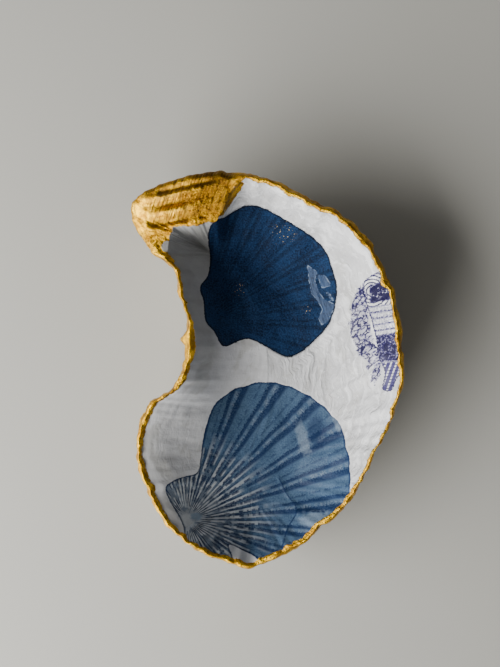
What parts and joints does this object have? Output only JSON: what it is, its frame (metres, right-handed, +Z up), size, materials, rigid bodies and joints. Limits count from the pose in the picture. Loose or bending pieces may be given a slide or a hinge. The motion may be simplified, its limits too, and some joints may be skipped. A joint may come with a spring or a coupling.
{
  "type": "oyster shell trinket dish",
  "caption": "Cupped oyster valve finished as a small trinket dish: gilded hinge plate and lip, paper-lined varnished bowl, ledged natural outside.",
  "frame": {"origin": "centre of the bounding box's base, on the surface that the worn belly stands on", "axes": "+Z up out of the bowl; +Y along the shell towards the hinge; +X towards the bulging side, so the beak points to -X"},
  "size_m": [0.0689, 0.101, 0.0276],
  "materials": {
    "shell": "natural chalky oyster shell outside; inside lined with white paper printed with blue scallop shells under gloss varnish; lip and hinge plate gilded"
  },
  "bodies": {
    "root": {"oyster_shell": "shell"}
  },
  "joints": []
}
